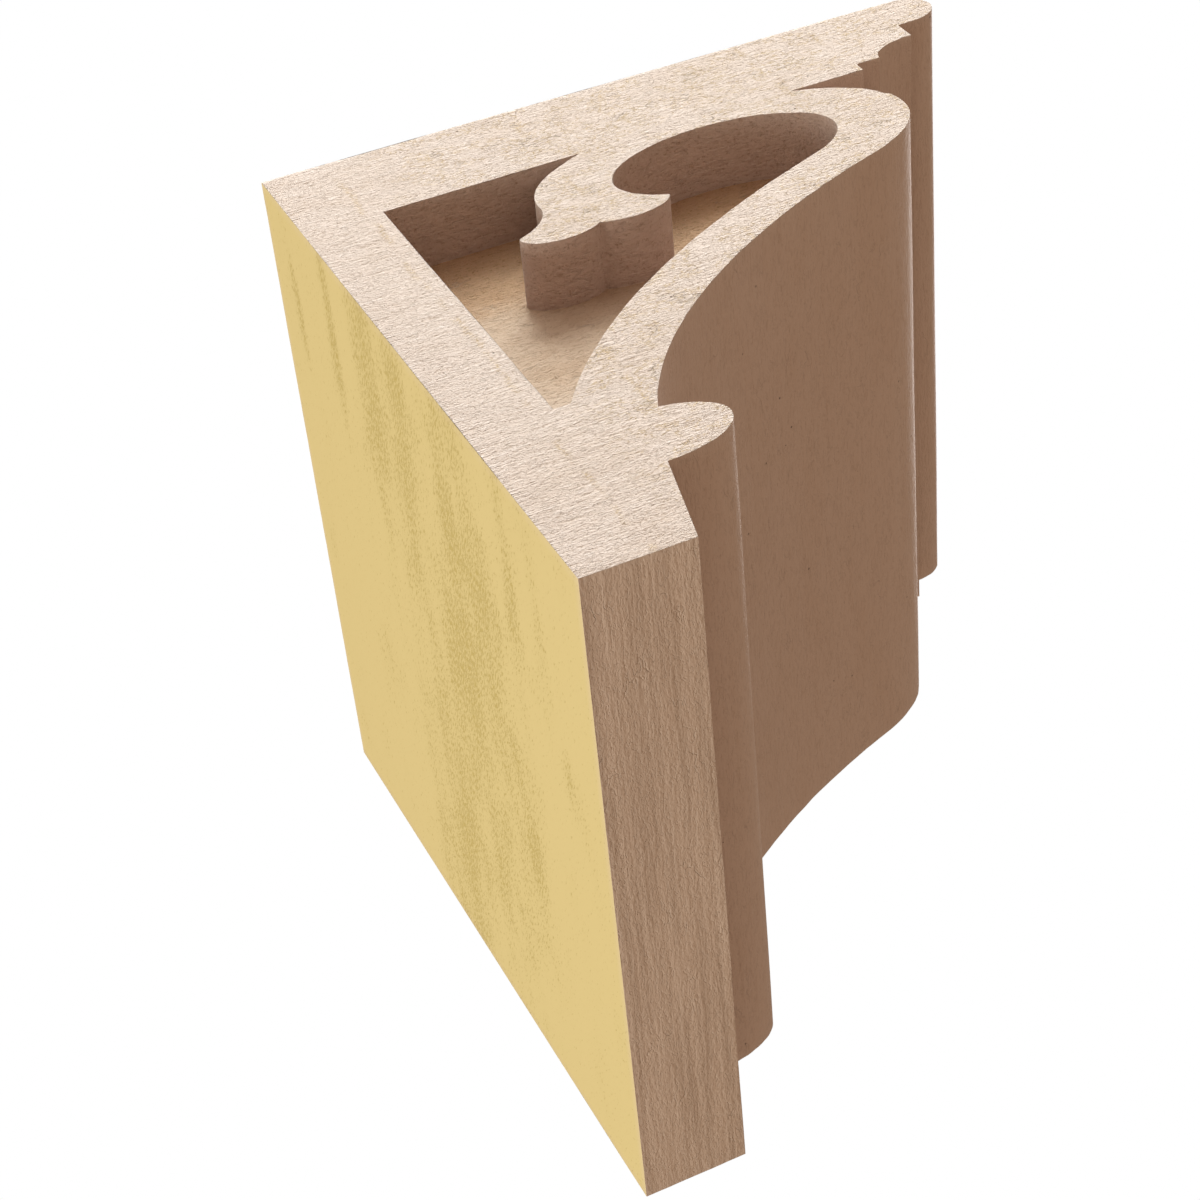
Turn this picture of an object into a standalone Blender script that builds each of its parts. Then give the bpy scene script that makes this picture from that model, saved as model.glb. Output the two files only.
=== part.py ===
# Corbel of cast urethane foam: a flat slab on a scrolled bracket, with a foot below.
# One casting. Each cheek has the same scrolled hollow sunk into it, with a flat floor.
# Metres. X runs across the wall, -Y out from the wall, +Z up.
# The origin is the middle of the flat back, which goes against the wall.

import math
from collections import namedtuple

import bmesh
import bpy

# Overall size
WIDTH = 0.3048
PROJECTION = 0.3048
HEIGHT = 0.3048

# The side outline is drawn by depth, out from the wall, and drop, down from the top.
# Its round forms are circles drawn at half depth, so each comes out twice as deep as it is high.
STRETCH = 2.0
Circle = namedtuple("Circle", "depth drop radius")
CHORD_SAG = 0.000012

# Slab: rounded nose, step, cove and fillet
NOSE_RISE = 0.01085
NOSE_REACH = 0.0149
STEP_DEPTH = 0.2828
STEP_DROP = 0.0328
COVE_DROP = 0.0436
FILLET_DEPTH = 0.2502
SLAB_DROP = 0.0491

# Bracket: round front under the slab, then one hollow sweep down to the bead
BULGE = Circle(0.1712, 0.0818, 0.0396)
SWEEP_RADIUS = 0.1947
SWEEP_END_DEPTH = 0.0659

# Bead and foot
BEAD = Circle(0.0540, 0.2447, 0.0164)
FOOT_DEPTH = 0.0436

# Hollow in each cheek
HOLLOW_SUNK = 0.0305
HOLLOW_BACK = 0.0336
HOLLOW_FOOT_DEPTH = 0.0404
HOLLOW_FOOT_DROP = 0.2113
HOLLOW_SWEEP_RADIUS = 0.2249

# Curl that hangs into the hollow from the slab
CURL_SIDE = 0.0871
CURL_BACK_RADIUS = 0.0363
CURL_BACK_DROP = 0.0791
CURL_NECK_RADIUS = 0.0224
CURL_NECK_DROP = 0.0807
INNER_LOBE = Circle(0.0877, 0.0986, 0.00867)
OUTER_LOBE = Circle(0.1166, 0.0968, 0.00943)

# Eye that the curl winds round
EYE_DROP = 0.0810
EYE_NEAR = 0.1197
EYE_FAR = 0.2180
EYE_NEAR_RADIUS = 0.02295
EYE_FAR_RADIUS = 0.0254

# How far a cutter stands out of the cheek it cuts
CUTTER_PROUD = 0.010

PRIMER_COLOUR = (0.80, 0.67, 0.56, 1.0)
FOAM_COLOUR = (0.73, 0.56, 0.24, 1.0)


# Points of a stretched circle

def at_angle(circle, degrees, stretch=STRETCH):
    turn = math.radians(degrees)
    return (circle.depth + stretch * circle.radius * math.cos(turn),
            circle.drop + circle.radius * math.sin(turn))


def angle_of(circle, point, stretch=STRETCH):
    return math.degrees(math.atan2(point[1] - circle.drop, (point[0] - circle.depth) / stretch))


def wall_end(circle):
    return at_angle(circle, 180)


def front_end(circle):
    return at_angle(circle, 0)


# A point at a given drop or depth, on the side that the sign names

def at_drop(circle, drop, side):
    half = STRETCH * math.sqrt(circle.radius ** 2 - (drop - circle.drop) ** 2)
    return circle.depth + side * half, drop


def at_depth(circle, depth, side):
    across = (depth - circle.depth) / STRETCH
    return depth, circle.drop + side * math.sqrt(circle.radius ** 2 - across ** 2)


# Points along an arc, both ends included. Turn is 1 from the front down, -1 the other way.

def arc(circle, first, last, turn, stretch=STRETCH):
    start = angle_of(circle, first, stretch)
    swept = (turn * (angle_of(circle, last, stretch) - start)) % 360
    widest = 2 * math.degrees(math.acos(1 - CHORD_SAG / circle.radius))
    count = math.ceil(swept / widest)
    return [at_angle(circle, start + turn * swept * i / count, stretch) for i in range(count + 1)]


# Lower of the two points where two stretched circles cross

def lower_crossing(one, other):
    run = (other.depth - one.depth) / STRETCH
    fall = other.drop - one.drop
    gap = math.hypot(run, fall)
    along = (gap ** 2 + one.radius ** 2 - other.radius ** 2) / (2 * gap)
    across = math.sqrt(one.radius ** 2 - along ** 2)
    return (one.depth + STRETCH * (along * run - across * fall) / gap,
            one.drop + (along * fall + across * run) / gap)


# Hollow sweep that leaves a round form smoothly and ends at a given point

def sweep_from(form, end, radius):
    run = end[0] / STRETCH - form.depth / STRETCH
    fall = end[1] - form.drop
    gap = math.hypot(run, fall)
    reach = form.radius + radius
    along = (gap ** 2 + reach ** 2 - radius ** 2) / (2 * gap)
    across = math.sqrt(reach ** 2 - along ** 2)
    return Circle(form.depth + STRETCH * (along * run + across * fall) / gap,
                  form.drop + (along * fall - across * run) / gap, radius)


def sweep_arcs(form, first, end, radius):
    sweep = sweep_from(form, end, radius)
    touch = at_angle(form, angle_of(form, (sweep.depth, sweep.drop)))
    return arc(form, first, touch, 1) + arc(sweep, touch, end, -1)


# Outlines as lists of (depth, drop)

def slab_front():
    nose = Circle(PROJECTION - NOSE_REACH, NOSE_RISE, NOSE_RISE)
    nose_stretch = NOSE_REACH / NOSE_RISE
    cove = Circle(STEP_DEPTH, COVE_DROP, COVE_DROP - STEP_DROP)
    nose_tip = (PROJECTION, NOSE_RISE)
    points = arc(nose, (nose.depth, 0), nose_tip, 1, nose_stretch)
    points += arc(nose, nose_tip, (nose.depth, 2 * NOSE_RISE), 1, nose_stretch)
    points += [(STEP_DEPTH, 2 * NOSE_RISE)]
    points += arc(cove, (STEP_DEPTH, STEP_DROP), wall_end(cove), -1)
    return points + [(FILLET_DEPTH, COVE_DROP), (FILLET_DEPTH, SLAB_DROP)]


def corbel_outline():
    sweep_end = at_depth(BEAD, SWEEP_END_DEPTH, -1)
    bead_foot = at_angle(BEAD, 90)
    points = [(0, 0)] + slab_front()
    points += sweep_arcs(BULGE, at_drop(BULGE, SLAB_DROP, 1), sweep_end, SWEEP_RADIUS)
    points += arc(BEAD, sweep_end, bead_foot, 1)
    return points + [(FOOT_DEPTH, HEIGHT), (0, HEIGHT)]


def curl_outline():
    back = Circle(CURL_SIDE + STRETCH * CURL_BACK_RADIUS, CURL_BACK_DROP, CURL_BACK_RADIUS)
    neck = Circle(CURL_SIDE - STRETCH * CURL_NECK_RADIUS, CURL_NECK_DROP, CURL_NECK_RADIUS)
    eye_near = Circle(EYE_NEAR + STRETCH * EYE_NEAR_RADIUS, EYE_DROP, EYE_NEAR_RADIUS)
    inner_tip = lower_crossing(neck, INNER_LOBE)
    cusp = lower_crossing(INNER_LOBE, OUTER_LOBE)
    outer_tip = lower_crossing(OUTER_LOBE, eye_near)
    points = arc(back, at_drop(back, SLAB_DROP, -1), wall_end(back), -1)
    points += arc(neck, front_end(neck), inner_tip, 1)
    points += arc(INNER_LOBE, inner_tip, cusp, -1)
    points += arc(OUTER_LOBE, cusp, outer_tip, -1)
    return points + arc(eye_near, outer_tip, wall_end(eye_near), 1)


def hollow_outline():
    eye = Circle((EYE_NEAR + EYE_FAR) / 2, EYE_DROP, (EYE_FAR - EYE_NEAR) / (2 * STRETCH))
    eye_far = Circle(EYE_FAR - STRETCH * EYE_FAR_RADIUS, EYE_DROP, EYE_FAR_RADIUS)
    foot = (HOLLOW_FOOT_DEPTH, HOLLOW_FOOT_DROP)
    points = [(HOLLOW_BACK, HOLLOW_FOOT_DROP), (HOLLOW_BACK, SLAB_DROP)] + curl_outline()
    points += arc(eye, wall_end(eye), front_end(eye), 1)
    return points + sweep_arcs(eye_far, front_end(eye_far), foot, HOLLOW_SWEEP_RADIUS)


# Points that fall on the one before are left out

def without_repeats(points, nearest=0.00005):
    kept = [points[0]]
    for point in points[1:]:
        if math.dist(point, kept[-1]) > nearest:
            kept.append(point)
    return kept


# Flat outline across the wall, made a closed mesh

def outline_block(name, outline, thickness, centre_x, collection):
    points = without_repeats(outline)
    curve = bpy.data.curves.new(name + "_outline", "CURVE")
    curve.dimensions = "2D"
    curve.fill_mode = "BOTH"
    curve.extrude = thickness / 2
    spline = curve.splines.new("POLY")
    spline.points.add(len(points) - 1)
    for spot, (depth, drop) in zip(spline.points, points):
        spot.co = (depth, HEIGHT / 2 - drop, 0, 1)
    spline.use_cyclic_u = True
    drawing = bpy.data.objects.new(name + "_outline", curve)
    drawing.location = (centre_x, 0, 0)
    drawing.rotation_euler = (math.pi / 2, 0, -math.pi / 2)
    collection.objects.link(drawing)
    bpy.context.view_layer.update()

    depsgraph = bpy.context.evaluated_depsgraph_get()
    mesh = bpy.data.meshes.new_from_object(drawing.evaluated_get(depsgraph))
    mesh.name = name
    weld = bmesh.new()
    weld.from_mesh(mesh)
    bmesh.ops.remove_doubles(weld, verts=weld.verts, dist=0.00001)
    bmesh.ops.recalc_face_normals(weld, faces=weld.faces)
    weld.to_mesh(mesh)
    weld.free()

    block = bpy.data.objects.new(name, mesh)
    block.matrix_world = drawing.matrix_world
    collection.objects.link(block)
    bpy.data.objects.remove(drawing)
    return block


def principled(name, colour, roughness):
    material = bpy.data.materials.new(name)
    material.use_nodes = True
    shader = material.node_tree.nodes["Principled BSDF"]
    shader.inputs["Base Color"].default_value = colour
    shader.inputs["Roughness"].default_value = roughness
    shader.inputs["Metallic"].default_value = 0.0
    return material


def make_collection(name):
    collection = bpy.data.collections.new(name)
    bpy.context.scene.collection.children.link(collection)
    return collection


# The cheek hollows: one cutter on each side, at -X and +X

def hollow_cutters(collection):
    cutters = []
    thickness = HOLLOW_SUNK + CUTTER_PROUD
    middle = WIDTH / 2 - HOLLOW_SUNK + thickness / 2
    for name, side in (("hollow_cutter_left", -1), ("hollow_cutter_right", 1)):
        cutter = outline_block(name, hollow_outline(), thickness, side * middle, collection)
        cutter.hide_render = True
        cutter.display_type = "WIRE"
        cutters.append(cutter)
    return cutters


def build_corbel():
    parts = make_collection("corbel")
    cutters = hollow_cutters(make_collection("cutters"))
    corbel = outline_block("corbel", corbel_outline(), WIDTH, 0, parts)
    corbel.data.materials.append(principled("primed_face", PRIMER_COLOUR, 0.75))
    corbel.data.materials.append(principled("raw_foam_back", FOAM_COLOUR, 0.85))
    for face in corbel.data.polygons:
        against_wall = all(abs(corbel.data.vertices[v].co.x) < 0.00001 for v in face.vertices)
        face.material_index = 1 if against_wall else 0
    for cutter in cutters:
        cut = corbel.modifiers.new(cutter.name, "BOOLEAN")
        cut.operation = "DIFFERENCE"
        cut.solver = "EXACT"
        cut.object = cutter
    corbel.data.shade_smooth()
    corbel.data.set_sharp_from_angle(angle=math.radians(25))


for leftover in list(bpy.data.objects):
    bpy.data.objects.remove(leftover)
build_corbel()
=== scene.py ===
import bpy
import bmesh
import math
from mathutils import Euler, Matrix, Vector, noise


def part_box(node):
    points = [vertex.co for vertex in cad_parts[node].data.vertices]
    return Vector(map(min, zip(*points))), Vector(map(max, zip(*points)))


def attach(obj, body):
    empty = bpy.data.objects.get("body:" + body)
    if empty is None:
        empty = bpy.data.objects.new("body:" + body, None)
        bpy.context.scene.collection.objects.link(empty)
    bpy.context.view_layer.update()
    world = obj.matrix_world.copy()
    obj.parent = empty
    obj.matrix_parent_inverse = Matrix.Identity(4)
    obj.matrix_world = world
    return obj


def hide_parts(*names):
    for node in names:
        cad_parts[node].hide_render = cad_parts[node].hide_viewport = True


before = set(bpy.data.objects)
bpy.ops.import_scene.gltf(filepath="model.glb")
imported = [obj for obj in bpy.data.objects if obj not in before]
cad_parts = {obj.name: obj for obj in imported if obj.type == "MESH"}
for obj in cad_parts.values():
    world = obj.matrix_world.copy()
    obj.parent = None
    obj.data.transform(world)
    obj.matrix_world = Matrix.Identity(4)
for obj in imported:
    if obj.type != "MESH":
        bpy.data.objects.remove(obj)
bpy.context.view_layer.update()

# A cast foam corbel with a rough sawn timber face. X runs across it, -Y out from the wall, +Z up.

boxLow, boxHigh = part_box("corbel")
halfWidth = (boxHigh.x - boxLow.x) / 2
reach = boxHigh.y - boxLow.y
wallY = boxHigh.y

casting = {
    "mergeWithin": 1e-6,
    "flatWithin": 0.2,          # degrees; faces nearer than this to one plane are one face
    "cutWithin": 1e-7,
    "arrisAngle": 25,           # degrees; anything flatter is a facet of a curve
    "arrisRound": 0.00030,
    "arrisSteps": 2,
    "cellAcross": 0.0051,       # along X, the way that the streaks run
    "cellCheekDeep": 0.0020,    # along Y on the cheeks
    "cellCheekHigh": 0.0014,    # along Z on the cheeks, across the saw lines
    "cellUnder": 0.0021,        # across the streaks on the undersides
    "cellBroad": 0.0042,        # the top and the back
    "cheekBand": 0.002,         # how near the cheek plane a face lies to count as cheek
    "soleBand": 0.002,          # and the underside to count as sole
    "facing": 0.9,              # the share of a normal along an axis that makes a face cheek, back or sole
    "squareOn": 0.99,           # and the share that makes it plane enough for the fine mesh
    "leastAside": 1e-4,         # a normal shorter than this across X has no direction there
    "smoothAngle": 50,
}

relief = {
    "sawLine": 0.00016,
    "sawSpacing": 0.0068,
    "sawLength": 0.055,
    "fibre": 0.00012,
    "fibreSpacing": 0.0036,
    "fibreLength": 0.011,
    "swell": 0.00022,
    "swellSize": 0.045,
    "flake": 0.00040,
    "flakeSize": 0.0065,
    "flakeFrom": 0.42,          # noise above this breaks out as a flake
    "checkDeep": 0.00034,
    "checkWide": 0.0010,
    "checkWander": 0.0022,
    "streak": 0.00014,
    "streakSpacing": 0.0045,
    "streakLength": 0.060,
    "backSwell": 0.00010,
    "hollowSwell": 0.00012,
    "arrisNick": 0.00030,
    "nickSize": 0.004,
    "flakeStretch": 1.6,        # a flake's length along the saw lines, in flake sizes
    "checkSwing": 0.021,        # the length over which a check wanders to and fro
    "checkGap": (0.028, 0.04),  # down and along: the sizes of the stretches where checks open
    "checkShare": 0.25,         # more than this opens them over more of the cheek
    "wrapSwell": 0.6,           # the swell of the front, as a share of the cheek's
    "wrapSwellSize": (0.09, 0.03, 0.03),
    "hollowSwellSize": (0.012, 0.014, 0.010),
    "backSwellSize": (0.05, 1.0, 0.02),
}

# offsets that keep one noise from repeating another
seeds = {
    "rightCheek": 7.0,
    "leftCheek": 3.0,
    "fibre": 11,
    "swell": 23,
    "flake": 31,
    "wander": 41.0,
    "gap": 53,
    "wrapSwell": 5,
}

# where the seasoning checks cross a cheek, as a share of the reach out from the wall
checkPlaces = (0.088, 0.213, 0.347, 0.485, 0.602, 0.700, 0.812, 0.921)

zones = ("cheek", "wrap", "sole", "back", "hollowWall", "hollowFloor")


def cutGrid(bm, faces, axis, places):
    # halves the stack of cuts each time, so that a face meets only the planes near it
    if not places or not faces:
        return
    middle = len(places) // 2
    normal = Vector([1.0 if i == axis else 0.0 for i in range(3)])
    geom = set(faces)
    for face in faces:
        geom.update(face.edges)
        geom.update(face.verts)
    made = bmesh.ops.bisect_plane(
        bm, geom=list(geom), dist=casting["cutWithin"], plane_co=normal * places[middle],
        plane_no=normal)
    faces = [g for g in made["geom"] if isinstance(g, bmesh.types.BMFace)]
    below = [f for f in faces if f.calc_center_median()[axis] < places[middle]]
    above = [f for f in faces if f.calc_center_median()[axis] >= places[middle]]
    cutGrid(bm, below, axis, places[:middle])
    cutGrid(bm, above, axis, places[middle + 1:])


def evenPlaces(low, high, step):
    count = max(1, round((high - low) / step))
    return [low + (high - low) * k / count for k in range(1, count)]


def nearCheek(x):
    return abs(x) > halfWidth - casting["cheekBand"]


def zoneOf(face):
    centre = face.calc_center_median()
    if abs(face.normal.x) > casting["facing"]:
        return zones.index("cheek" if nearCheek(centre.x) else "hollowFloor")
    if face.normal.y > casting["facing"] and centre.y > wallY - casting["cheekBand"]:
        return zones.index("back")
    if face.normal.z < -casting["facing"] and centre.z < boxLow.z + casting["soleBand"]:
        return zones.index("sole")
    xs = [v.co.x for v in face.verts]
    return zones.index("hollowWall" if min(xs) * max(xs) > 0 else "wrap")


def castingShell(node):
    bm = bmesh.new()
    bm.from_mesh(node.data)
    arris = bm.faces.layers.int.new("arris")
    bmesh.ops.remove_doubles(bm, verts=bm.verts, dist=casting["mergeWithin"])
    bmesh.ops.dissolve_limit(
        bm, angle_limit=math.radians(casting["flatWithin"]), use_dissolve_boundaries=False,
        verts=bm.verts, edges=bm.edges, delimit=set())
    bm.normal_update()
    for face in bm.faces:
        face.material_index = zoneOf(face)
    sharp = [e for e in bm.edges if len(e.link_faces) == 2
             and e.calc_face_angle_signed() > math.radians(casting["arrisAngle"])]
    rounded = bmesh.ops.bevel(
        bm, geom=sharp, offset=casting["arrisRound"], offset_type="OFFSET",
        segments=casting["arrisSteps"], profile=0.5, affect="EDGES", clamp_overlap=True, material=-1)
    for face in rounded["faces"]:
        face[arris] = 1
    print("rounded the arrises:", len(bm.faces), "faces")
    return bm


def gridShell(bm):
    # the fine mesh follows the plane faces; the curved ones already have facets round them
    square = casting["squareOn"]
    cutGrid(bm, bm.faces[:], 0, evenPlaces(boxLow.x, boxHigh.x, casting["cellAcross"]))
    for axis, step in ((1, casting["cellCheekDeep"]), (2, casting["cellCheekHigh"])):
        bm.normal_update()
        sides = [f for f in bm.faces if abs(f.normal.x) > square]
        cutGrid(bm, sides, axis, evenPlaces(boxLow[axis], boxHigh[axis], step))
    bm.normal_update()
    under = [f for f in bm.faces if f.normal.z < -square]
    over = [f for f in bm.faces if f.normal.z > square]
    upright = [f for f in bm.faces if abs(f.normal.y) > square]
    cutGrid(bm, under, 1, evenPlaces(boxLow.y, boxHigh.y, casting["cellUnder"]))
    cutGrid(bm, over, 1, evenPlaces(boxLow.y, boxHigh.y, casting["cellBroad"]))
    cutGrid(bm, upright, 2, evenPlaces(boxLow.z, boxHigh.z, casting["cellBroad"]))
    bm.normal_update()
    print("cut the fine mesh:", len(bm.faces), "faces")


def noiseAt(x, y, z):
    return noise.noise(Vector((x, y, z)))


def noiseSized(co, size, lift=0.0):
    return noiseAt(co.x / size[0], co.y / size[1], co.z / size[2] + lift)


def cheekDepth(co):
    # how far the sawn cheek lies below its plane: saw lines along the depth, flakes and checks
    side = seeds["rightCheek"] if co.x > 0 else seeds["leftCheek"]
    line = noiseAt(co.y / relief["sawLength"], co.z / relief["sawSpacing"], side)
    fibre = noiseAt(co.y / relief["fibreLength"], co.z / relief["fibreSpacing"], side + seeds["fibre"])
    swell = noiseAt(co.y / relief["swellSize"], co.z / relief["swellSize"], side + seeds["swell"])
    flake = noiseAt(co.y / relief["flakeSize"] / relief["flakeStretch"], co.z / relief["flakeSize"],
                    side + seeds["flake"])
    depth = relief["sawLine"] * (0.5 + line) + relief["fibre"] * (0.5 + fibre)
    depth += relief["swell"] * (0.5 + swell)
    depth += relief["flake"] * max(0.0, flake - relief["flakeFrom"]) / (1 - relief["flakeFrom"])
    out = (wallY - co.y) / reach
    wander = relief["checkWander"] * noiseAt(co.z / relief["checkSwing"], side, seeds["wander"])
    gapDown, gapAlong = relief["checkGap"]
    opened = noiseAt(co.z / gapDown, co.y / gapAlong, side + seeds["gap"])
    opened = max(0.0, opened + relief["checkShare"])
    for place in checkPlaces:
        apart = (out - place) * reach + wander
        depth += relief["checkDeep"] * opened * math.exp(-(apart / relief["checkWide"]) ** 2)
    return depth


def wrapDepth(co):
    streak = noiseSized(co, (relief["streakLength"], relief["streakSpacing"], relief["streakSpacing"]))
    swell = noiseSized(co, relief["wrapSwellSize"], seeds["wrapSwell"])
    return relief["streak"] * (0.5 + streak) + relief["swell"] * relief["wrapSwell"] * (0.5 + swell)


def hollowDepth(co):
    return relief["hollowSwell"] * (0.5 + noiseSized(co, relief["hollowSwellSize"]))


def backDepth(co):
    return relief["backSwell"] * (0.5 + noiseSized(co, relief["backSwellSize"]))


depthOf = {
    "wrap": wrapDepth,
    "sole": wrapDepth,
    "back": backDepth,
    "hollowWall": hollowDepth,
    "hollowFloor": hollowDepth,
}


def facesNear(vert, arris):
    near = set(vert.link_faces)
    if any(f[arris] for f in near):
        for face in vert.link_faces:
            for corner in face.verts:
                near.update(corner.link_faces)
    return near


def moveInwards(vert, around):
    # across a cheek's arris the cheek's own depth goes along X, so that no lip is left standing
    co = vert.co
    depths = [depthOf[zone](co) for zone in sorted(around - {"cheek"})]
    if "cheek" not in around:
        return vert.normal * -min(depths)
    move = Vector((-math.copysign(cheekDepth(co), co.x), 0.0, 0.0))
    aside = Vector((0.0, vert.normal.y, vert.normal.z))
    if depths and aside.length > casting["leastAside"]:
        move -= aside.normalized() * min(depths)
    return move


def roughenShell(bm):
    arris = bm.faces.layers.int["arris"]
    # the share of arris faces at each corner, which the paint turns into rubbed primer and painted
    # highlight
    edge = bm.verts.layers.float.new("arrisWearAndHighlight")
    moves = []
    for vert in bm.verts:
        move = moveInwards(vert, {zones[f.material_index] for f in facesNear(vert, arris)})
        share = sum(f[arris] for f in vert.link_faces) / len(vert.link_faces)
        vert[edge] = share
        if share > 0:
            nick = noiseSized(vert.co, [relief["nickSize"]] * 3)
            move -= vert.normal * relief["arrisNick"] * share * max(0.0, nick)
        moves.append((vert, move))
    for vert, move in moves:
        vert.co += move
    print("roughened", len(moves), "corners")


def finishCasting(bm):
    mesh = bpy.data.meshes.new("corbelCasting")
    bm.to_mesh(mesh)
    bm.free()
    piece = bpy.data.objects.new("corbelCasting", mesh)
    bpy.context.scene.collection.objects.link(piece)
    mesh.shade_smooth()
    mesh.set_sharp_from_angle(angle=math.radians(casting["smoothAngle"]))
    weighted = piece.modifiers.new("weightedNormals", "WEIGHTED_NORMAL")
    weighted.keep_sharp = True
    print("corbelCasting:", sum(len(p.vertices) - 2 for p in mesh.polygons), "triangles")
    return piece


primer = {
    "tone": (0.800, 0.665, 0.552),
    "grooveTone": (0.560, 0.440, 0.330),
    # the arrises' lighter tone: partly rubbed primer, partly a painted highlight along the edges
    "arrisWearAndHighlightTone": (0.900, 0.800, 0.700),
    "tornTone": (0.600, 0.430, 0.250),
    "pitTone": (0.200, 0.135, 0.085),
    "checkTone": (0.640, 0.460, 0.270),
    "shadeGoldTone": (0.720, 0.456, 0.264),   # painted warm shade on the hollow's floor, under the shadow of its top wall
    "shadeGoldAbove": 0.078,                  # how far down from the top the painted shade is full, and where it ends
    "shadeGoldBelow": 0.112,
    "paleTone": (0.790, 0.650, 0.530),   # and its lowest corner, out of the painted shade, almost as pale as the cheek
    "paleAbove": 0.150,
    "paleBelow": 0.200,
    "swaySize": 0.02,                    # the wavy ends of the painted shade and the pale part
    "sway": 0.03,
    "coarseAt": (0.65, 0.75),            # the floor's grain where it is pale, and what the painted shade adds
    "evenWithin": 0.10,                  # shares of the reach between which the cheek turns rough
    "roughBeyond": 0.19,
    "evenCrevices": 0.4,                 # the share of the crevices that stays where it is even
    "grooveShadeTint": (0.70, 0.62, 0.53),    # what grooves and tips multiply the colour by: painted warm shade in the grooves, painted cool highlight on the tips
    "tipHighlightTint": (1.13, 1.20, 1.27),
    "tornSize": 0.0027,
    "tornWidth": 0.034,
    "tornFrom": 0.43,
    "pitStrength": 0.75,
    # how strongly the arrises take that lighter tone
    "arrisWearAndHighlight": 0.35,
    "pitDeep": 0.8,                      # depths as shares of the grain's height
    "crackDeep": 0.20,
    "creviceDeep": 0.12,
    "grooveRougher": 0.08,               # roughness added low in the grain, and taken off at its top
    "tipSmoother": 0.06,
    "lent": (0.54, 0.43, 0.42),          # the share of its colour that a surface lends to its neighbours
}

foam = {
    "tone": (0.735, 0.622, 0.288),
    "mottleTone": (0.560, 0.450, 0.150),
    "roughness": 0.85,
    "gloss": 0.20,
    "bump": 0.00012,
    "arrisWearAndHighlight": 0.5,
    "cloudSize": (0.050, 0.02, 0.016),
    "cloudAmount": (0.70, 0.150),        # how much the clouds count, and what lies under them
    "patchFrom": 0.48,
    "patchFull": 0.86,
    "patchDarkens": 0.12,
    "tickLean": -0.4,                    # the ticks lean from the level by this much
    "tickSize": (0.0030, 0.002, 0.0011),
    "tickMore": 0.16,                    # a patch holds more ticks than the foam around it
    "tickFrom": 0.60,
    "tickFull": 0.74,
    "tickStrength": 0.85,
    # mottled patches: place across and down, half width and half height, as shares of the back, strength
    "patches": (
        (0.10, 0.34, 0.28, 0.045, 0.33), (0.14, 0.44, 0.28, 0.050, 0.27), (0.12, 0.61, 0.40, 0.075, 0.23),
        (0.42, 0.57, 0.24, 0.065, 0.17), (0.70, 0.47, 0.32, 0.095, 0.20), (0.95, 0.43, 0.25, 0.100, 0.17),
        (0.12, 0.215, 0.16, 0.020, 0.42), (0.15, 0.080, 0.09, 0.018, 0.32), (0.62, 0.75, 0.24, 0.035, 0.22),
        (0.10, 0.77, 0.22, 0.035, 0.22), (0.63, 0.25, 0.06, 0.045, 0.22), (0.40, 0.69, 0.40, 0.045, 0.18),
        (0.36, 0.90, 0.06, 0.018, 0.24), (0.82, 0.62, 0.28, 0.060, 0.17), (0.12, 0.86, 0.12, 0.025, 0.20),
    ),
}
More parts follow.
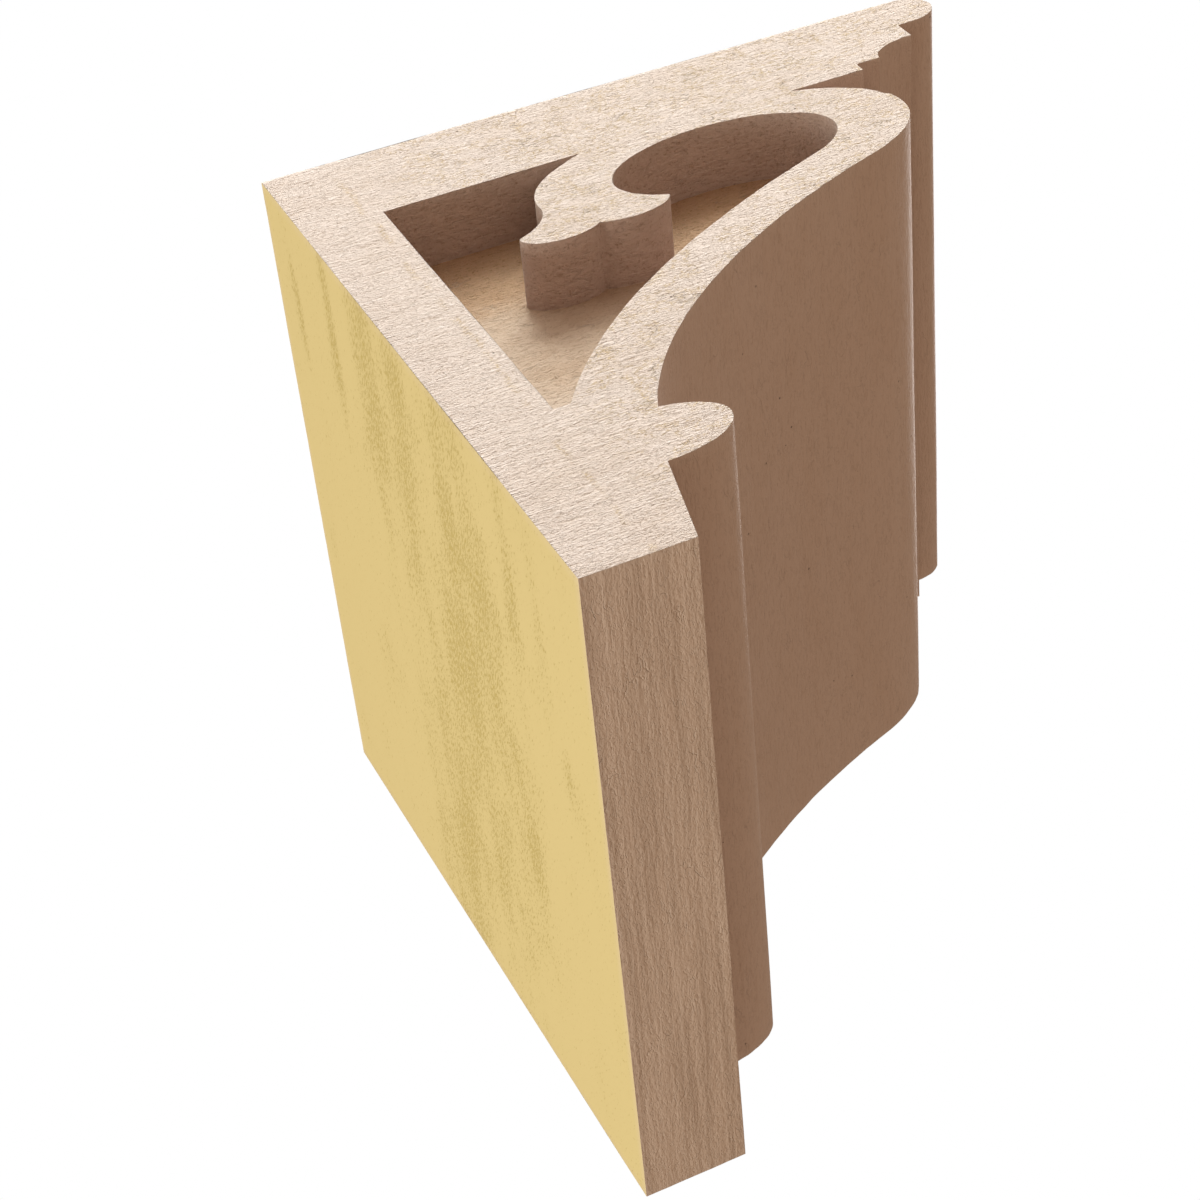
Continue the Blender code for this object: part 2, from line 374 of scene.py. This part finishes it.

# How strongly each surface shows the mould's timber. Sizes are in metres. Each surface's tone scale makes
# the one primer lighter or darker for how the light falls on it: painted light and shade. The checks and
# torn lines are on the cheek alone, and the painted warm shade on the hollow's floor.
finishes = {
    "cheek": {
        "along": "Y", "paintedLightScale": (1.025, 1.005, 1.025), "cloudScale": (0.93, 0.89, 0.84),
        "roughness": 0.78, "gloss": 0.20, "bump": 0.0021, "grooveShade": 0.75, "tipHighlight": 0.60,
        "lineLength": 0.013, "lineSpacing": 0.0016, "fibreLength": 0.0022, "fibreWidth": 0.0008,
        "speckSize": 0.0008, "creviceSize": 0.0009, "wander": 0.0018,
        "cloudSize": 0.030, "cloudStretch": 1.8,
        "lines": 0.38, "fibres": 0.31, "specks": 0.31,
        "crevices": 0.60, "pits": 0.09, "clouds": 0.35, "cracks": 0.65,
        "checks": 0.80, "torn": 0.95,
    },
    "wrap": {
        "along": "X", "paintedLightScale": (0.990, 0.950, 0.935), "cloudScale": (0.93, 0.89, 0.84),
        "roughness": 0.33, "gloss": 0.50, "bump": 0.0008, "grooveShade": 0.20, "tipHighlight": 0.08,
        "lineLength": 0.050, "lineSpacing": 0.0034, "fibreLength": 0.0060, "fibreWidth": 0.0014,
        "speckSize": 0.0017, "creviceSize": 0.0015, "wander": 0.0022,
        "cloudSize": 0.026, "cloudStretch": 3.0,
        "lines": 0.34, "fibres": 0.30, "specks": 0.36,
        "crevices": 0.14, "pits": 0.12, "clouds": 0.34, "cracks": 0.08,
    },
    "sole": {
        "along": "X", "paintedLightScale": (1.10, 1.10, 1.07), "cloudScale": (0.84, 0.82, 0.80),
        "roughness": 0.72, "gloss": 0.20, "bump": 0.0011, "grooveShade": 0.18, "tipHighlight": 0.16,
        "lineLength": 0.090, "lineSpacing": 0.0034, "fibreLength": 0.0040, "fibreWidth": 0.0014,
        "speckSize": 0.0013, "creviceSize": 0.0014, "wander": 0.0026,
        "cloudSize": 0.0042, "cloudStretch": 18.0,
        "lines": 0.48, "fibres": 0.27, "specks": 0.25,
        "crevices": 0.05, "pits": 0.04, "clouds": 0.90, "cracks": 0.03,
    },
    "hollowWall": {
        "along": "Y", "paintedLightScale": (1.01, 1.00, 1.01), "cloudScale": (0.90, 0.86, 0.83),
        "roughness": 0.75, "gloss": 0.20, "bump": 0.0017, "grooveShade": 0.80, "tipHighlight": 0.55,
        "lineLength": 0.014, "lineSpacing": 0.0024, "fibreLength": 0.0034, "fibreWidth": 0.0011,
        "speckSize": 0.0009, "creviceSize": 0.0011, "wander": 0.0030,
        "cloudSize": 0.020, "cloudStretch": 1.8,
        "lines": 0.28, "fibres": 0.36, "specks": 0.36,
        "crevices": 0.20, "pits": 0.03, "clouds": 0.35, "cracks": 0.15,
    },
    "hollowFloor": {
        # the floor's darker, warmer primer is painted shade in the hollow
        "along": "Y", "paintedLightScale": (0.875, 0.770, 0.650), "cloudScale": (0.86, 0.80, 0.74),
        "roughness": 0.70, "gloss": 0.20, "bump": 0.0020, "grooveShade": 0.60, "tipHighlight": 0.50,
        "lineLength": 0.016, "lineSpacing": 0.0020, "fibreLength": 0.0034, "fibreWidth": 0.0010,
        "speckSize": 0.0009, "creviceSize": 0.0012, "wander": 0.0022,
        "cloudSize": 0.012, "cloudStretch": 1.5,
        "lines": 0.22, "fibres": 0.36, "specks": 0.42,
        "crevices": 0.25, "pits": 0.07, "clouds": 0.50, "cracks": 0.35,
        # how strongly the painted warm shade shows on the floor
        "shadeGold": 0.95,
    },
}


# the shapes of the marks, the same on every surface; sizes run along, across and through the timber
marks = {
    "driftSize": (0.022, 0.012, 0.012),
    "grooveShadeLevel": (0.47, 0.36),         # where the grain counts as a groove for the painted shade, from not at all to fully
    # and where it counts as a tip for the painted highlight
    "tipHighlightLevel": (0.53, 0.64),
    "creviceStretch": 2.2,
    "creviceMiddle": 0.47,
    "creviceWidth": 0.055,
    "creviceFibres": (0.58, 0.42),
    "pitLeast": 0.35,                    # the smallest pinhole, in radii
    "pitEdge": (1.0, 0.45),
    "crackStretch": 2.0,
    "crackPatchSize": (0.016, 0.010, 0.010),
    "crackPatchEdge": 0.06,
    "checkDriftSize": (0.2, 0.018, 0.018),
    "checkDrift": 0.0075,
    "checkGapSize": (0.05, 0.014, 0.014),
    "checkGapLevel": (0.44, 0.60),
    "crumbSize": (0.0013, 0.0009, 0.0009),
    "crumbLevel": (0.56, 0.42),
    "cloudLevel": (0.42, 0.66),
    "roughLevel": (0.3, 0.7),
}


def newGroup(name, inputs, outputs):
    tree = bpy.data.node_groups.new(name, "ShaderNodeTree")
    for label, kind, value in inputs:
        socket = tree.interface.new_socket(name=label, in_out="INPUT", socket_type=kind)
        if value is not None:
            socket.default_value = value
    for label, kind in outputs:
        tree.interface.new_socket(name=label, in_out="OUTPUT", socket_type=kind)
    entry = tree.nodes.new("NodeGroupInput")
    leave = tree.nodes.new("NodeGroupOutput")
    return tree, entry.outputs, leave.inputs


def plug(tree, value, socket):
    if isinstance(value, bpy.types.NodeSocket):
        tree.links.new(value, socket)
    else:
        socket.default_value = value


def maths(tree, operation, *values):
    node = tree.nodes.new("ShaderNodeMath")
    node.operation = operation
    for i, value in enumerate(values):
        plug(tree, value, node.inputs[i])
    return node.outputs[0]


def times(tree, a, b):
    return maths(tree, "MULTIPLY", a, b)


def minus(tree, a, b):
    return maths(tree, "SUBTRACT", a, b)


def vectorMaths(tree, operation, *values):
    node = tree.nodes.new("ShaderNodeVectorMath")
    node.operation = operation
    for i, value in enumerate(values):
        plug(tree, value, node.inputs[i])
    return node.outputs["Vector"]


def combine(tree, x, y, z):
    node = tree.nodes.new("ShaderNodeCombineXYZ")
    for i, value in enumerate((x, y, z)):
        plug(tree, value, node.inputs[i])
    return node.outputs[0]


def sizeAlong(tree, along, across):
    return combine(tree, along, across, across)


def separate(tree, vector):
    node = tree.nodes.new("ShaderNodeSeparateXYZ")
    tree.links.new(vector, node.inputs[0])
    return node.outputs


def noiseNode(tree, vector, size, detail=2.0, roughness=0.5, output="Fac"):
    node = tree.nodes.new("ShaderNodeTexNoise")
    node.inputs["Scale"].default_value = 1.0
    node.inputs["Detail"].default_value = detail
    node.inputs["Roughness"].default_value = roughness
    tree.links.new(vectorMaths(tree, "DIVIDE", vector, size), node.inputs["Vector"])
    return node.outputs[output]


def ramp(tree, value, low, high, outLow=0.0, outHigh=1.0):
    node = tree.nodes.new("ShaderNodeMapRange")
    node.interpolation_type = "SMOOTHSTEP"
    for label, number in (("From Min", low), ("From Max", high), ("To Min", outLow), ("To Max", outHigh)):
        plug(tree, number, node.inputs[label])
    tree.links.new(value, node.inputs["Value"])
    return node.outputs["Result"]


def blend(tree, factor, a, b, mode="MIX"):
    node = tree.nodes.new("ShaderNodeMix")
    node.data_type = "RGBA"
    node.blend_type = mode
    plug(tree, factor, node.inputs["Factor"])
    for label, value in (("A", a), ("B", b)):
        sockets = [i for i in node.inputs if i.name == label and i.type == "RGBA"]
        plug(tree, value if isinstance(value, bpy.types.NodeSocket) else (*value, 1.0), sockets[0])
    return [o for o in node.outputs if o.type == "RGBA"][0]


def useGroup(tree, group, **values):
    node = tree.nodes.new("ShaderNodeGroup")
    node.node_tree = group
    for label, value in values.items():
        plug(tree, value, node.inputs[label])
    return node.outputs


def makeSawnGrain():
    # lines, fibres and specks left by the saw; the vector runs along, across and through the timber. The
    # groove and tip masks carry the painted shade in its grooves and the painted highlight on its tips
    numbers = {"lineLength": 0.04, "lineSpacing": 0.003, "fibreLength": 0.005, "fibreWidth": 0.001,
               "speckSize": 0.001, "creviceSize": 0.0015, "wander": 0.002,
               "lines": 0.4, "fibres": 0.4, "specks": 0.2}
    tree, given, out = newGroup(
        "sawnGrain",
        [("Vector", "NodeSocketVector", None)] + [(k, "NodeSocketFloat", v) for k, v in numbers.items()],
        [(k, "NodeSocketFloat") for k in ("Height", "GrooveShade", "TipHighlight", "Crevice")])
    drift = noiseNode(tree, given["Vector"], marks["driftSize"], 1.0, output="Color")
    drift = vectorMaths(tree, "SUBTRACT", drift, (0.5, 0.5, 0.5))
    spread = sizeAlong(tree, given["wander"], given["wander"])
    place = vectorMaths(tree, "MULTIPLY_ADD", drift, spread, given["Vector"])
    lines = noiseNode(tree, place, sizeAlong(tree, given["lineLength"], given["lineSpacing"]), 4.0, 0.62)
    fibres = noiseNode(tree, place, sizeAlong(tree, given["fibreLength"], given["fibreWidth"]), 2.0, 0.55)
    specks = noiseNode(tree, place, sizeAlong(tree, given["speckSize"], given["speckSize"]), 2.0, 0.6)
    height = times(tree, lines, given["lines"])
    height = maths(tree, "MULTIPLY_ADD", fibres, given["fibres"], height)
    height = maths(tree, "MULTIPLY_ADD", specks, given["specks"], height)
    total = maths(tree, "ADD", given["lines"], maths(tree, "ADD", given["fibres"], given["specks"]))
    level = maths(tree, "DIVIDE", height, total)
    creviceLength = times(tree, given["creviceSize"], marks["creviceStretch"])
    crevices = noiseNode(tree, place, sizeAlong(tree, creviceLength, given["creviceSize"]), 1.0, 0.5)
    offMiddle = maths(tree, "ABSOLUTE", minus(tree, crevices, marks["creviceMiddle"]))
    thin = ramp(tree, offMiddle, marks["creviceWidth"], 0.0)
    tree.links.new(level, out["Height"])
    tree.links.new(ramp(tree, level, *marks["grooveShadeLevel"]), out["GrooveShade"])
    tree.links.new(ramp(tree, level, *marks["tipHighlightLevel"]), out["TipHighlight"])
    tree.links.new(times(tree, thin, ramp(tree, fibres, *marks["creviceFibres"])), out["Crevice"])
    return tree


def makePinholes():
    # small burst bubbles and dark specks, in a share of the cells only
    tree, given, out = newGroup(
        "pinholes",
        [("Vector", "NodeSocketVector", None), ("spacing", "NodeSocketFloat", 0.006),
         ("radius", "NodeSocketFloat", 0.0006), ("share", "NodeSocketFloat", 0.1)],
        [("Mask", "NodeSocketFloat")])
    size = sizeAlong(tree, given["spacing"], given["spacing"])
    cells = tree.nodes.new("ShaderNodeTexVoronoi")
    cells.inputs["Scale"].default_value = 1.0
    tree.links.new(vectorMaths(tree, "DIVIDE", given["Vector"], size), cells.inputs["Vector"])
    draws = tree.nodes.new("ShaderNodeSeparateColor")
    tree.links.new(cells.outputs["Color"], draws.inputs[0])
    apart = times(tree, cells.outputs["Distance"], given["spacing"])
    wide = times(tree, given["radius"], maths(tree, "ADD", draws.outputs[1], marks["pitLeast"]))
    inside = ramp(tree, maths(tree, "DIVIDE", apart, wide), *marks["pitEdge"])
    chosen = maths(tree, "LESS_THAN", draws.outputs[0], given["share"])
    tree.links.new(times(tree, inside, chosen), out["Mask"])
    return tree


def makeHairCracks():
    # short wandering cracks: the thin rim where a noise passes its middle, kept in patches
    tree, given, out = newGroup(
        "hairCracks",
        [("Vector", "NodeSocketVector", None), ("size", "NodeSocketFloat", 0.009),
         ("width", "NodeSocketFloat", 0.02), ("patches", "NodeSocketFloat", 0.60)],
        [("Mask", "NodeSocketFloat")])
    size = sizeAlong(tree, times(tree, given["size"], marks["crackStretch"]), given["size"])
    rim = noiseNode(tree, given["Vector"], size, 3.0, 0.6)
    thin = ramp(tree, maths(tree, "ABSOLUTE", minus(tree, rim, 0.5)), given["width"], 0.0)
    where = noiseNode(tree, given["Vector"], marks["crackPatchSize"], 1.0)
    full = maths(tree, "ADD", given["patches"], marks["crackPatchEdge"])
    tree.links.new(times(tree, thin, ramp(tree, where, given["patches"], full)), out["Mask"])
    return tree


def makeChecks():
    # seasoning checks that cross the cheek at the same places as in the mesh
    tree, given, out = newGroup(
        "seasoningChecks", [("Vector", "NodeSocketVector", None), ("width", "NodeSocketFloat", 0.0022)],
        [("Mask", "NodeSocketFloat")])
    drift = noiseNode(tree, given["Vector"], marks["checkDriftSize"], 3.0, 0.6)
    drift = times(tree, minus(tree, drift, 0.5), marks["checkDrift"])
    place = maths(tree, "ADD", separate(tree, given["Vector"])[0], drift)
    nearest = None
    for share in checkPlaces:
        apart = maths(tree, "ABSOLUTE", minus(tree, place, wallY - share * reach))
        nearest = apart if nearest is None else maths(tree, "MINIMUM", nearest, apart)
    line = ramp(tree, maths(tree, "DIVIDE", nearest, given["width"]), 1.0, 0.0)
    opened = noiseNode(tree, given["Vector"], marks["checkGapSize"], 2.0, 0.6)
    crumbs = noiseNode(tree, given["Vector"], marks["crumbSize"], 2.0, 0.6)
    stain = times(tree, line, ramp(tree, opened, *marks["checkGapLevel"]))
    tree.links.new(times(tree, stain, ramp(tree, crumbs, *marks["crumbLevel"])), out["Mask"])
    return tree


def makeClouds():
    # the primer's uneven thickness
    tree, given, out = newGroup(
        "primerClouds", [("Vector", "NodeSocketVector", None), ("size", "NodeSocketFloat", 0.03),
                         ("stretch", "NodeSocketFloat", 1.8)],
        [("Mask", "NodeSocketFloat")])
    size = sizeAlong(tree, times(tree, given["size"], given["stretch"]), given["size"])
    cloud = noiseNode(tree, given["Vector"], size, 4.0, 0.62)
    tree.links.new(ramp(tree, cloud, *marks["cloudLevel"]), out["Mask"])
    return tree


def grainVector(tree, along):
    # the object's own coordinates, turned so that X runs along the saw lines
    place = tree.nodes.new("ShaderNodeTexCoord")
    x, y, z = separate(tree, place.outputs["Object"])
    return combine(tree, y, z, x) if along == "Y" else combine(tree, x, y, z)


def scaled(tone, scale):
    return tuple(t * k for t, k in zip(tone, scale))


# on the primer the arrises lighten, partly rubbed paint and partly painted highlight; on the foam they take
# the primer's edge
def wornAndLitArris(tree, strength):
    wear = tree.nodes.new("ShaderNodeAttribute")
    wear.attribute_name = "arrisWearAndHighlight"
    return times(tree, wear.outputs["Fac"], strength)


def newMaterial(name):
    material = bpy.data.materials.new(name)
    material.use_nodes = True
    return material, material.node_tree


def shadeMaterial(tree, base, roughness, height, bump, gloss):
    # surfaces lend each other only part of their colour, as in an open, evenly lit studio
    shader = tree.nodes["Principled BSDF"]
    path = tree.nodes.new("ShaderNodeLightPath")
    dimmed = blend(tree, 1.0, base, primer["lent"], "MULTIPLY")
    seen = blend(tree, path.outputs["Is Diffuse Ray"], base, dimmed)
    tree.links.new(seen, shader.inputs["Base Color"])
    plug(tree, roughness, shader.inputs["Roughness"])
    shader.inputs["Specular IOR Level"].default_value = gloss
    raised = tree.nodes.new("ShaderNodeBump")
    raised.inputs["Strength"].default_value = 1.0
    raised.inputs["Distance"].default_value = bump
    tree.links.new(height, raised.inputs["Height"])
    tree.links.new(raised.outputs["Normal"], shader.inputs["Normal"])


def primedMaterial(zone, finish):
    material, tree = newMaterial(f"primed{zone[0].upper()}{zone[1:]}")
    vector = grainVector(tree, finish["along"])
    outwards, upwards = separate(tree, vector)[:2]
    sizes = ("lineLength", "lineSpacing", "fibreLength", "fibreWidth", "speckSize", "creviceSize",
             "wander", "lines", "fibres", "specks")
    grain = useGroup(tree, groups["sawnGrain"], Vector=vector, **{k: finish[k] for k in sizes})
    pits = useGroup(tree, groups["pinholes"], Vector=vector, share=finish["pits"])["Mask"]
    cracks = useGroup(tree, groups["hairCracks"], Vector=vector)["Mask"]
    cloud = useGroup(tree, groups["primerClouds"], Vector=vector, size=finish["cloudSize"],
                     stretch=finish["cloudStretch"])["Mask"]
    # each surface's primer made lighter or darker for how the light falls on it: painted light and shade
    tones = {k: scaled(primer[k], finish["paintedLightScale"]) for k in ("tone", "grooveTone")}
    base = blend(tree, times(tree, cloud, finish["clouds"]), tones["tone"],
                 scaled(tones["tone"], finish["cloudScale"]))
    coarse = 1.0
    # painted warm shade on the floor under the shadow of the hollow's top wall, and its pale lowest corner
    # out of that shade
    if "shadeGold" in finish:
        sway = noiseNode(tree, vector, [primer["swaySize"]] * 3, 3.0, 0.6)
        fromTop = minus(tree, boxHigh.z, upwards)
        fromTop = maths(tree, "MULTIPLY_ADD", minus(tree, sway, 0.5), primer["sway"], fromTop)
        shadeGolden = ramp(tree, fromTop, primer["shadeGoldBelow"], primer["shadeGoldAbove"])
        base = blend(tree, times(tree, shadeGolden, finish["shadeGold"]), base, primer["shadeGoldTone"])
        pale = ramp(tree, fromTop, primer["paleAbove"], primer["paleBelow"])
        base = blend(tree, pale, base, primer["paleTone"])
        paleCoarse, shadeGoldCoarse = primer["coarseAt"]
        coarse = maths(tree, "MULTIPLY_ADD", shadeGolden, shadeGoldCoarse, paleCoarse)
    # painted shade in the grain's grooves and painted cool highlight on its tips
    grooveShade = times(tree, grain["GrooveShade"], times(tree, coarse, finish["grooveShade"]))
    tipHighlight = times(tree, grain["TipHighlight"], times(tree, coarse, finish["tipHighlight"]))
    base = blend(tree, grooveShade, base, primer["grooveShadeTint"], "MULTIPLY")
    base = blend(tree, tipHighlight, base, primer["tipHighlightTint"], "MULTIPLY")
    crevice = times(tree, grain["Crevice"], finish["crevices"])
    if "checks" in finish:
        out = maths(tree, "DIVIDE", minus(tree, wallY, outwards), reach)
        rough = ramp(tree, out, primer["evenWithin"], primer["roughBeyond"])
        kept = maths(tree, "MULTIPLY_ADD", rough, 1 - primer["evenCrevices"], primer["evenCrevices"])
        crevice = times(tree, crevice, kept)
        cracks = times(tree, cracks, rough)
        checks = useGroup(tree, groups["seasoningChecks"], Vector=vector)["Mask"]
        base = blend(tree, times(tree, checks, finish["checks"]), base, primer["checkTone"])
        torn = useGroup(tree, groups["hairCracks"], Vector=vector, size=primer["tornSize"],
                        width=primer["tornWidth"], patches=primer["tornFrom"])["Mask"]
        torn = times(tree, torn, rough)
        base = blend(tree, times(tree, torn, finish["torn"]), base, primer["tornTone"])
    base = blend(tree, crevice, base, tones["grooveTone"])
    base = blend(tree, times(tree, cracks, finish["cracks"]), base, primer["grooveTone"])
    base = blend(tree, times(tree, pits, primer["pitStrength"]), base, primer["pitTone"])
    # lighter arrises: rubbed primer and painted highlight
    base = blend(tree, wornAndLitArris(tree, primer["arrisWearAndHighlight"]), base, primer["arrisWearAndHighlightTone"])
    height = times(tree, grain["Height"], coarse)
    height = minus(tree, height, times(tree, pits, primer["pitDeep"]))
    height = minus(tree, height, times(tree, cracks, primer["crackDeep"]))
    height = minus(tree, height, times(tree, grain["Crevice"], primer["creviceDeep"]))
    roughest = finish["roughness"] + primer["grooveRougher"]
    smoothest = finish["roughness"] - primer["tipSmoother"]
    roughness = ramp(tree, grain["Height"], *marks["roughLevel"], roughest, smoothest)
    shadeMaterial(tree, base, roughness, height, finish["bump"], finish["gloss"])
    return material


def foamMaterial():
    # the trimmed back: bare yellow foam, mottled in patches
    material, tree = newMaterial("rawFoamBack")
    vector = grainVector(tree, "X")
    x, y, z = separate(tree, vector)
    across = maths(tree, "DIVIDE", minus(tree, x, boxLow.x), 2 * halfWidth)
    down = maths(tree, "DIVIDE", minus(tree, boxHigh.z, z), boxHigh.z - boxLow.z)
    cloudMuch, cloudBase = foam["cloudAmount"]
    amount = noiseNode(tree, vector, foam["cloudSize"], 4.0, 0.60)
    amount = maths(tree, "MULTIPLY_ADD", amount, cloudMuch, cloudBase)
    for middleAcross, middleDown, halfAcross, halfDown, strength in foam["patches"]:
        offAcross = maths(tree, "DIVIDE", minus(tree, across, middleAcross), halfAcross)
        offDown = maths(tree, "DIVIDE", minus(tree, down, middleDown), halfDown)
        apart = maths(tree, "MULTIPLY_ADD", offAcross, offAcross, times(tree, offDown, offDown))
        spot = maths(tree, "POWER", math.e, times(tree, apart, -1.0))
        amount = maths(tree, "MULTIPLY_ADD", spot, strength, amount)
    patches = ramp(tree, amount, foam["patchFrom"], foam["patchFull"])
    leaning = combine(tree, x, y, maths(tree, "MULTIPLY_ADD", x, foam["tickLean"], z))
    ticks = noiseNode(tree, leaning, foam["tickSize"], 3.0, 0.68)
    ticks = maths(tree, "MULTIPLY_ADD", patches, foam["tickMore"], ticks)
    mottle = ramp(tree, ticks, foam["tickFrom"], foam["tickFull"])
    base = blend(tree, times(tree, patches, foam["patchDarkens"]), foam["tone"], foam["mottleTone"])
    base = blend(tree, times(tree, mottle, foam["tickStrength"]), base, foam["mottleTone"])
    base = blend(tree, wornAndLitArris(tree, foam["arrisWearAndHighlight"]), base, primer["tone"])
    shadeMaterial(tree, base, foam["roughness"], times(tree, mottle, -1.0), foam["bump"], foam["gloss"])
    return material


world = {
    "background": (1.0, 1.0, 1.0),
    "ambient": (0.335, 0.238, 0.176),
}

# direction the light comes from, distance, width, brightness on a white card, colour
lamps = {
    "keyAbove": ((-0.66, -0.29, 0.68), 3.0, 2.2, 1.20, (0.840, 0.950, 1.0)),
    "wideGlow": ((-0.75, 0.08, 0.57), 4.0, 8.0, 0.80, (0.840, 0.950, 1.0)),
    "backWindow": ((0.04, 0.98, -0.18), 3.0, 1.6, 0.62, (1.0, 0.97, 0.92)),
    "rimCard": ((0.45, -0.62, 0.64), 3.0, 1.3, 0.072, (0.96, 0.90, 0.87)),
}


def softPanel(name, direction, distance, width, brightness, tone):
    lamp = bpy.data.lights.new(name, "AREA")
    lamp.shape = "DISK"
    lamp.size = width
    lamp.color = tone
    lamp.energy = brightness * math.pi ** 2 * distance ** 2
    panel = bpy.data.objects.new(name, lamp)
    bpy.context.scene.collection.objects.link(panel)
    aim = Vector(direction).normalized()
    panel.location = aimPoint + aim * distance
    panel.rotation_euler = aim.to_track_quat("Z", "Y").to_euler()
    panel.visible_camera = False
    return panel


aimPoint = Vector((0.0, -reach / 2, 0.0))

view = {
    "place": (-0.68703, 0.25098, -0.80846),
    "turn": (144.181, 26.690, -86.041),     # degrees
    "lens": 82.28,
    "shiftX": -0.08,
    "shiftY": -0.0177,
    "sensor": 36,
    "near": 0.05,
    "far": 60,
}


def makeCamera():
    camera = bpy.data.cameras.new("camera")
    camera.lens = view["lens"]
    camera.sensor_width = view["sensor"]
    camera.shift_x = view["shiftX"]
    camera.shift_y = view["shiftY"]
    camera.clip_start = view["near"]
    camera.clip_end = view["far"]
    holder = bpy.data.objects.new("camera", camera)
    bpy.context.scene.collection.objects.link(holder)
    holder.location = view["place"]
    holder.rotation_euler = Euler([math.radians(a) for a in view["turn"]], "XYZ")
    bpy.context.scene.camera = holder
    print("camera placed")


def makeWorld():
    sky = bpy.data.worlds.new("studio")
    bpy.context.scene.world = sky
    sky.use_nodes = True
    tree = sky.node_tree
    tree.nodes.clear()
    seen = tree.nodes.new("ShaderNodeLightPath")
    plain = tree.nodes.new("ShaderNodeBackground")
    plain.inputs["Color"].default_value = (*world["background"], 1.0)
    soft = tree.nodes.new("ShaderNodeBackground")
    soft.inputs["Color"].default_value = (*world["ambient"], 1.0)
    choose = tree.nodes.new("ShaderNodeMixShader")
    out = tree.nodes.new("ShaderNodeOutputWorld")
    tree.links.new(seen.outputs["Is Camera Ray"], choose.inputs[0])
    tree.links.new(soft.outputs[0], choose.inputs[1])
    tree.links.new(plain.outputs[0], choose.inputs[2])
    tree.links.new(choose.outputs[0], out.inputs["Surface"])
    bpy.context.scene.view_settings.view_transform = "Standard"


ground = {
    "segments": 64,
    "radius": 14.0,
    "height": -1.3,             # below the camera, which looks up at the corbel
    "tone": (0.85, 0.85, 0.85),
    "roughness": 0.9,
}


def makeFloor():
    bm = bmesh.new()
    bmesh.ops.create_circle(bm, cap_ends=True, segments=ground["segments"], radius=ground["radius"])
    bmesh.ops.translate(bm, verts=bm.verts, vec=(0, 0, ground["height"]))
    mesh = bpy.data.meshes.new("floor")
    bm.to_mesh(mesh)
    bm.free()
    floor = bpy.data.objects.new("floor", mesh)
    bpy.context.scene.collection.objects.link(floor)
    paint, tree = newMaterial("paleFloor")
    shader = tree.nodes["Principled BSDF"]
    shader.inputs["Base Color"].default_value = (*ground["tone"], 1.0)
    shader.inputs["Roughness"].default_value = ground["roughness"]
    mesh.materials.append(paint)
    floor.visible_diffuse = False
    floor.visible_glossy = False


makeCamera()
makeWorld()
for name, setting in lamps.items():
    panel = softPanel(name, *setting)
    panel.visible_diffuse = name != "rimCard"   # the card only shows in the paint's gloss
makeFloor()

shell = castingShell(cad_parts["corbel"])
gridShell(shell)
roughenShell(shell)
corbelCasting = finishCasting(shell)
groups = {
    "sawnGrain": makeSawnGrain(),
    "pinholes": makePinholes(),
    "hairCracks": makeHairCracks(),
    "seasoningChecks": makeChecks(),
    "primerClouds": makeClouds(),
}
for zone in zones:
    made = foamMaterial() if zone == "back" else primedMaterial(zone, finishes[zone])
    corbelCasting.data.materials.append(made)
print("materials made")
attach(corbelCasting, "root")
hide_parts("corbel")
